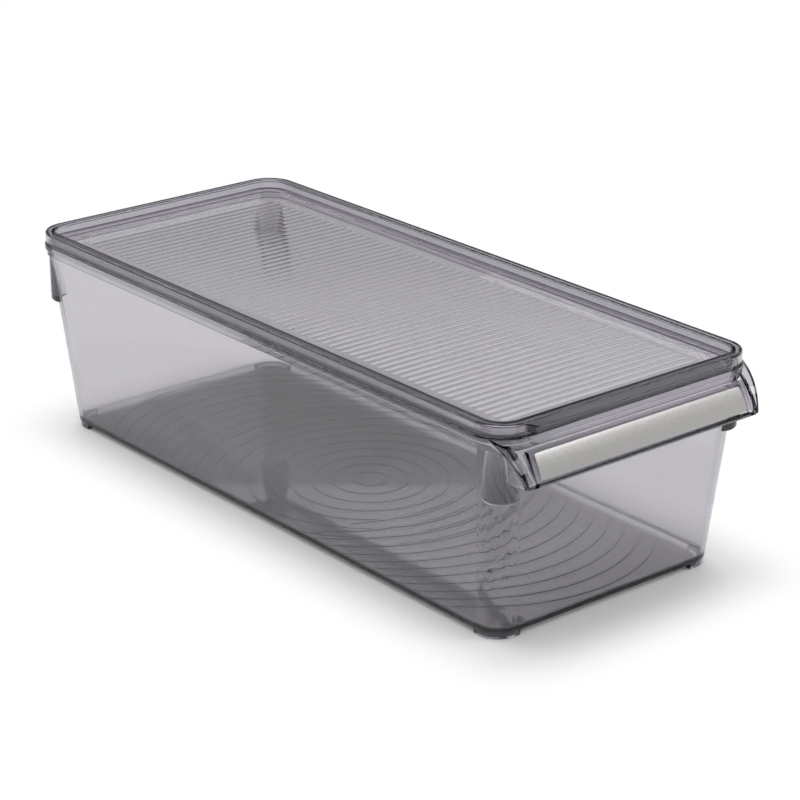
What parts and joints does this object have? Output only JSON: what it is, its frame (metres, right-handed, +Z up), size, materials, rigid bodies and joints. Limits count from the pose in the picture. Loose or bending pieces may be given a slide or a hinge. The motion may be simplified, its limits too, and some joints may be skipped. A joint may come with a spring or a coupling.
{
  "type": "fridge storage container",
  "caption": "Long clear smoke-tinted fridge bin with a ribbed lift-off lid, and a loop pull handle on its front faced with a satin metal strip.",
  "frame": {"origin": "on the level surface that the feet stand on, in the middle of the closed container's bounding box", "axes": "+Z up, +Y along the bin towards its back, so the handle is at -Y; +X across the bin, to the right seen from the handle"},
  "size_m": [0.1536, 0.3712, 0.1051],
  "materials": {
    "smoky_plastic": "clear, smoke-tinted, polished",
    "satin_steel": "satin",
    "adhesive_film": "matt"
  },
  "bodies": {
    "bin": {"bin_body": "smoky_plastic", "handle_strip": "satin_steel", "strip_tape": "adhesive_film"},
    "lid": {"lid": "smoky_plastic"}
  },
  "joints": [
    {"name": "lid_lift", "type": "slide", "parent": "bin", "child": "lid", "axis": [0, 0, 1], "range_m": [0, 0.12]}
  ]
}
